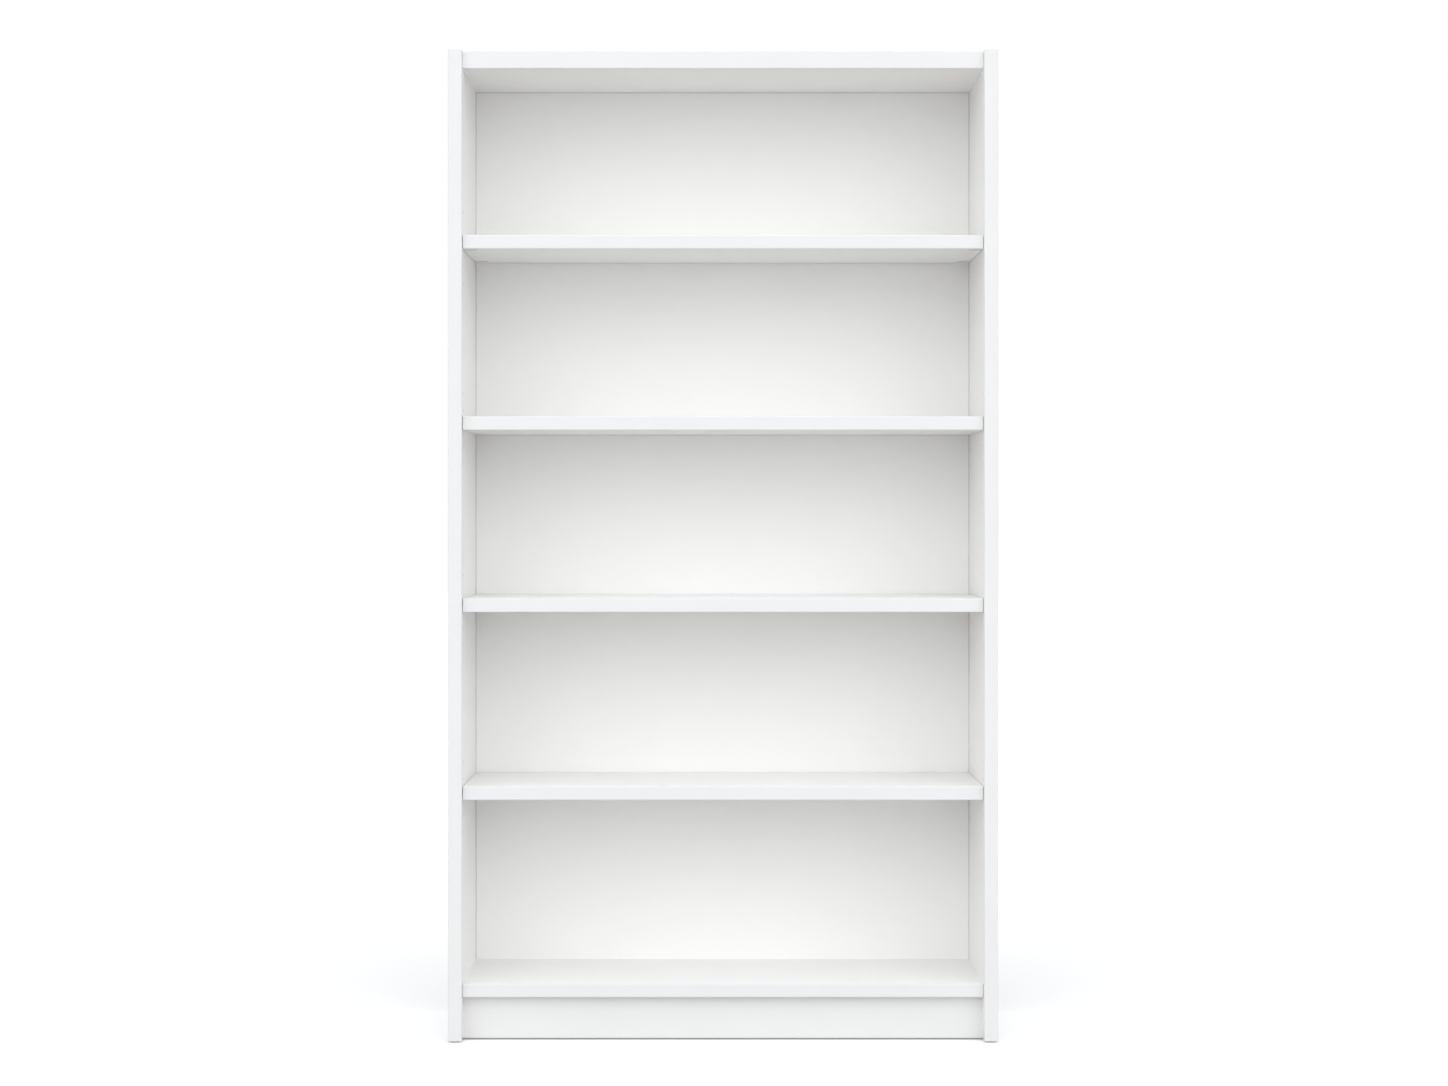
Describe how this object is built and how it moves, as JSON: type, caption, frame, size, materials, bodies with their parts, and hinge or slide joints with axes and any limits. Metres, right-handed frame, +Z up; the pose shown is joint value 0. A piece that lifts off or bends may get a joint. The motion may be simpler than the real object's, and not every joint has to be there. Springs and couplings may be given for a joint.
{
  "type": "bookcase",
  "caption": "Open bookcase with full-height sides, a thick top, a set-back plinth, a back sheet in grooves and shelves that lift off their pins; cam locks hold the boards.",
  "frame": {"origin": "on the floor under the middle of the case", "axes": "+X to the right as seen from the front, +Y to the back, +Z up"},
  "size_m": [1, 0.3, 1.806],
  "materials": {
    "white_board": "white melamine-faced particleboard, matt",
    "white_edge_band": "white plastic edge band, satin",
    "back_sheet": "thin fibreboard, white in front, raw behind",
    "beech": "plain beech",
    "pin_steel": "nickel-plated steel",
    "cam_zinc": "die-cast zinc",
    "bolt_steel": "zinc-plated steel",
    "screw_steel": "zinc-plated steel",
    "glide_plastic": "grey polyethylene",
    "cap_plastic": "white moulded plastic"
  },
  "bodies": {
    "case": {"left_side_panel": "white_board", "right_side_panel": "white_board", "left_side_edge_band": "white_edge_band", "right_side_edge_band": "white_edge_band", "top_panel": "white_board", "top_panel_edge_band": "white_edge_band", "bottom_shelf": "white_board", "bottom_shelf_edge_band": "white_edge_band", "plinth_board": "white_board", "back_panel": "back_sheet", "wooden_dowels": "beech", "floor_glides": "glide_plastic", "back_panel_screws": "screw_steel", "cam_bolts": "bolt_steel"},
    "shelf_1": {"adjustable_shelf_1": "white_board", "adjustable_shelf_1_edge_band": "white_edge_band"},
    "shelf_1_pin_front_left": {"shelf_1_pin_front_left": "pin_steel"},
    "shelf_1_pin_rear_left": {"shelf_1_pin_rear_left": "pin_steel"},
    "shelf_1_pin_front_right": {"shelf_1_pin_front_right": "pin_steel"},
    "shelf_1_pin_rear_right": {"shelf_1_pin_rear_right": "pin_steel"},
    "shelf_2": {"adjustable_shelf_2": "white_board", "adjustable_shelf_2_edge_band": "white_edge_band"},
    "shelf_2_pin_front_left": {"shelf_2_pin_front_left": "pin_steel"},
    "shelf_2_pin_rear_left": {"shelf_2_pin_rear_left": "pin_steel"},
    "shelf_2_pin_front_right": {"shelf_2_pin_front_right": "pin_steel"},
    "shelf_2_pin_rear_right": {"shelf_2_pin_rear_right": "pin_steel"},
    "shelf_3": {"adjustable_shelf_3": "white_board", "adjustable_shelf_3_edge_band": "white_edge_band"},
    "shelf_3_pin_front_left": {"shelf_3_pin_front_left": "pin_steel"},
    "shelf_3_pin_rear_left": {"shelf_3_pin_rear_left": "pin_steel"},
    "shelf_3_pin_front_right": {"shelf_3_pin_front_right": "pin_steel"},
    "shelf_3_pin_rear_right": {"shelf_3_pin_rear_right": "pin_steel"},
    "shelf_4": {"adjustable_shelf_4": "white_board", "adjustable_shelf_4_edge_band": "white_edge_band"},
    "shelf_4_pin_front_left": {"shelf_4_pin_front_left": "pin_steel"},
    "shelf_4_pin_rear_left": {"shelf_4_pin_rear_left": "pin_steel"},
    "shelf_4_pin_front_right": {"shelf_4_pin_front_right": "pin_steel"},
    "shelf_4_pin_rear_right": {"shelf_4_pin_rear_right": "pin_steel"},
    "cam_lock_top_front_left": {"cam_lock_top_front_left": "cam_zinc"},
    "cam_cap_top_front_left": {"cam_cap_top_front_left": "cap_plastic"},
    "cam_lock_top_front_right": {"cam_lock_top_front_right": "cam_zinc"},
    "cam_cap_top_front_right": {"cam_cap_top_front_right": "cap_plastic"},
    "cam_lock_top_rear_left": {"cam_lock_top_rear_left": "cam_zinc"},
    "cam_cap_top_rear_left": {"cam_cap_top_rear_left": "cap_plastic"},
    "cam_lock_top_rear_right": {"cam_lock_top_rear_right": "cam_zinc"},
    "cam_cap_top_rear_right": {"cam_cap_top_rear_right": "cap_plastic"},
    "cam_lock_bottom_front_left": {"cam_lock_bottom_front_left": "cam_zinc"},
    "cam_lock_bottom_front_right": {"cam_lock_bottom_front_right": "cam_zinc"},
    "cam_lock_bottom_rear_left": {"cam_lock_bottom_rear_left": "cam_zinc"},
    "cam_lock_bottom_rear_right": {"cam_lock_bottom_rear_right": "cam_zinc"},
    "cam_lock_plinth_left": {"cam_lock_plinth_left": "cam_zinc"},
    "cam_lock_plinth_right": {"cam_lock_plinth_right": "cam_zinc"}
  },
  "joints": [
    {"name": "shelf_1_lift", "type": "slide", "parent": "case", "child": "shelf_1", "axis": [0, 0, 1], "range_m": [0, 0.064]},
    {"name": "shelf_1_pin_front_left_pull", "type": "slide", "parent": "case", "child": "shelf_1_pin_front_left", "axis": [1, 0, 0], "range_m": [0, 0.012]},
    {"name": "shelf_1_pin_rear_left_pull", "type": "slide", "parent": "case", "child": "shelf_1_pin_rear_left", "axis": [1, 0, 0], "range_m": [0, 0.012]},
    {"name": "shelf_1_pin_front_right_pull", "type": "slide", "parent": "case", "child": "shelf_1_pin_front_right", "axis": [-1, 0, 0], "range_m": [0, 0.012]},
    {"name": "shelf_1_pin_rear_right_pull", "type": "slide", "parent": "case", "child": "shelf_1_pin_rear_right", "axis": [-1, 0, 0], "range_m": [0, 0.012]},
    {"name": "shelf_2_lift", "type": "slide", "parent": "case", "child": "shelf_2", "axis": [0, 0, 1], "range_m": [0, 0.064]},
    {"name": "shelf_2_pin_front_left_pull", "type": "slide", "parent": "case", "child": "shelf_2_pin_front_left", "axis": [1, 0, 0], "range_m": [0, 0.012]},
    {"name": "shelf_2_pin_rear_left_pull", "type": "slide", "parent": "case", "child": "shelf_2_pin_rear_left", "axis": [1, 0, 0], "range_m": [0, 0.012]},
    {"name": "shelf_2_pin_front_right_pull", "type": "slide", "parent": "case", "child": "shelf_2_pin_front_right", "axis": [-1, 0, 0], "range_m": [0, 0.012]},
    {"name": "shelf_2_pin_rear_right_pull", "type": "slide", "parent": "case", "child": "shelf_2_pin_rear_right", "axis": [-1, 0, 0], "range_m": [0, 0.012]},
    {"name": "shelf_3_lift", "type": "slide", "parent": "case", "child": "shelf_3", "axis": [0, 0, 1], "range_m": [0, 0.064]},
    {"name": "shelf_3_pin_front_left_pull", "type": "slide", "parent": "case", "child": "shelf_3_pin_front_left", "axis": [1, 0, 0], "range_m": [0, 0.012]},
    {"name": "shelf_3_pin_rear_left_pull", "type": "slide", "parent": "case", "child": "shelf_3_pin_rear_left", "axis": [1, 0, 0], "range_m": [0, 0.012]},
    {"name": "shelf_3_pin_front_right_pull", "type": "slide", "parent": "case", "child": "shelf_3_pin_front_right", "axis": [-1, 0, 0], "range_m": [0, 0.012]},
    {"name": "shelf_3_pin_rear_right_pull", "type": "slide", "parent": "case", "child": "shelf_3_pin_rear_right", "axis": [-1, 0, 0], "range_m": [0, 0.012]},
    {"name": "shelf_4_lift", "type": "slide", "parent": "case", "child": "shelf_4", "axis": [0, 0, 1], "range_m": [0, 0.064]},
    {"name": "shelf_4_pin_front_left_pull", "type": "slide", "parent": "case", "child": "shelf_4_pin_front_left", "axis": [1, 0, 0], "range_m": [0, 0.012]},
    {"name": "shelf_4_pin_rear_left_pull", "type": "slide", "parent": "case", "child": "shelf_4_pin_rear_left", "axis": [1, 0, 0], "range_m": [0, 0.012]},
    {"name": "shelf_4_pin_front_right_pull", "type": "slide", "parent": "case", "child": "shelf_4_pin_front_right", "axis": [-1, 0, 0], "range_m": [0, 0.012]},
    {"name": "shelf_4_pin_rear_right_pull", "type": "slide", "parent": "case", "child": "shelf_4_pin_rear_right", "axis": [-1, 0, 0], "range_m": [0, 0.012]},
    {"name": "cam_lock_top_front_left_turn", "type": "hinge", "parent": "case", "child": "cam_lock_top_front_left", "pos_m": [-0.451, -0.08, 1.7965], "axis": [0, 0, 1], "range_deg": [0, 180]},
    {"name": "cam_cap_top_front_left_lift", "type": "slide", "parent": "case", "child": "cam_cap_top_front_left", "axis": [0, 0, 1], "range_m": [0, 0.012]},
    {"name": "cam_lock_top_front_right_turn", "type": "hinge", "parent": "case", "child": "cam_lock_top_front_right", "pos_m": [0.451, -0.08, 1.7965], "axis": [0, 0, 1], "range_deg": [0, 180]},
    {"name": "cam_cap_top_front_right_lift", "type": "slide", "parent": "case", "child": "cam_cap_top_front_right", "axis": [0, 0, 1], "range_m": [0, 0.012]},
    {"name": "cam_lock_top_rear_left_turn", "type": "hinge", "parent": "case", "child": "cam_lock_top_rear_left", "pos_m": [-0.451, 0.09, 1.7965], "axis": [0, 0, 1], "range_deg": [0, 180]},
    {"name": "cam_cap_top_rear_left_lift", "type": "slide", "parent": "case", "child": "cam_cap_top_rear_left", "axis": [0, 0, 1], "range_m": [0, 0.012]},
    {"name": "cam_lock_top_rear_right_turn", "type": "hinge", "parent": "case", "child": "cam_lock_top_rear_right", "pos_m": [0.451, 0.09, 1.7965], "axis": [0, 0, 1], "range_deg": [0, 180]},
    {"name": "cam_cap_top_rear_right_lift", "type": "slide", "parent": "case", "child": "cam_cap_top_rear_right", "axis": [0, 0, 1], "range_m": [0, 0.012]},
    {"name": "cam_lock_bottom_front_left_turn", "type": "hinge", "parent": "case", "child": "cam_lock_bottom_front_left", "pos_m": [-0.451, -0.08, 0.0905], "axis": [0, 0, -1], "range_deg": [0, 180]},
    {"name": "cam_lock_bottom_front_right_turn", "type": "hinge", "parent": "case", "child": "cam_lock_bottom_front_right", "pos_m": [0.451, -0.08, 0.0905], "axis": [0, 0, -1], "range_deg": [0, 180]},
    {"name": "cam_lock_bottom_rear_left_turn", "type": "hinge", "parent": "case", "child": "cam_lock_bottom_rear_left", "pos_m": [-0.451, 0.09, 0.0905], "axis": [0, 0, -1], "range_deg": [0, 180]},
    {"name": "cam_lock_bottom_rear_right_turn", "type": "hinge", "parent": "case", "child": "cam_lock_bottom_rear_right", "pos_m": [0.451, 0.09, 0.0905], "axis": [0, 0, -1], "range_deg": [0, 180]},
    {"name": "cam_lock_plinth_left_turn", "type": "hinge", "parent": "case", "child": "cam_lock_plinth_left", "pos_m": [-0.451, -0.1095, 0.03], "axis": [0, 1, 0], "range_deg": [0, 180]},
    {"name": "cam_lock_plinth_right_turn", "type": "hinge", "parent": "case", "child": "cam_lock_plinth_right", "pos_m": [0.451, -0.1095, 0.03], "axis": [0, 1, 0], "range_deg": [0, 180]}
  ]
}
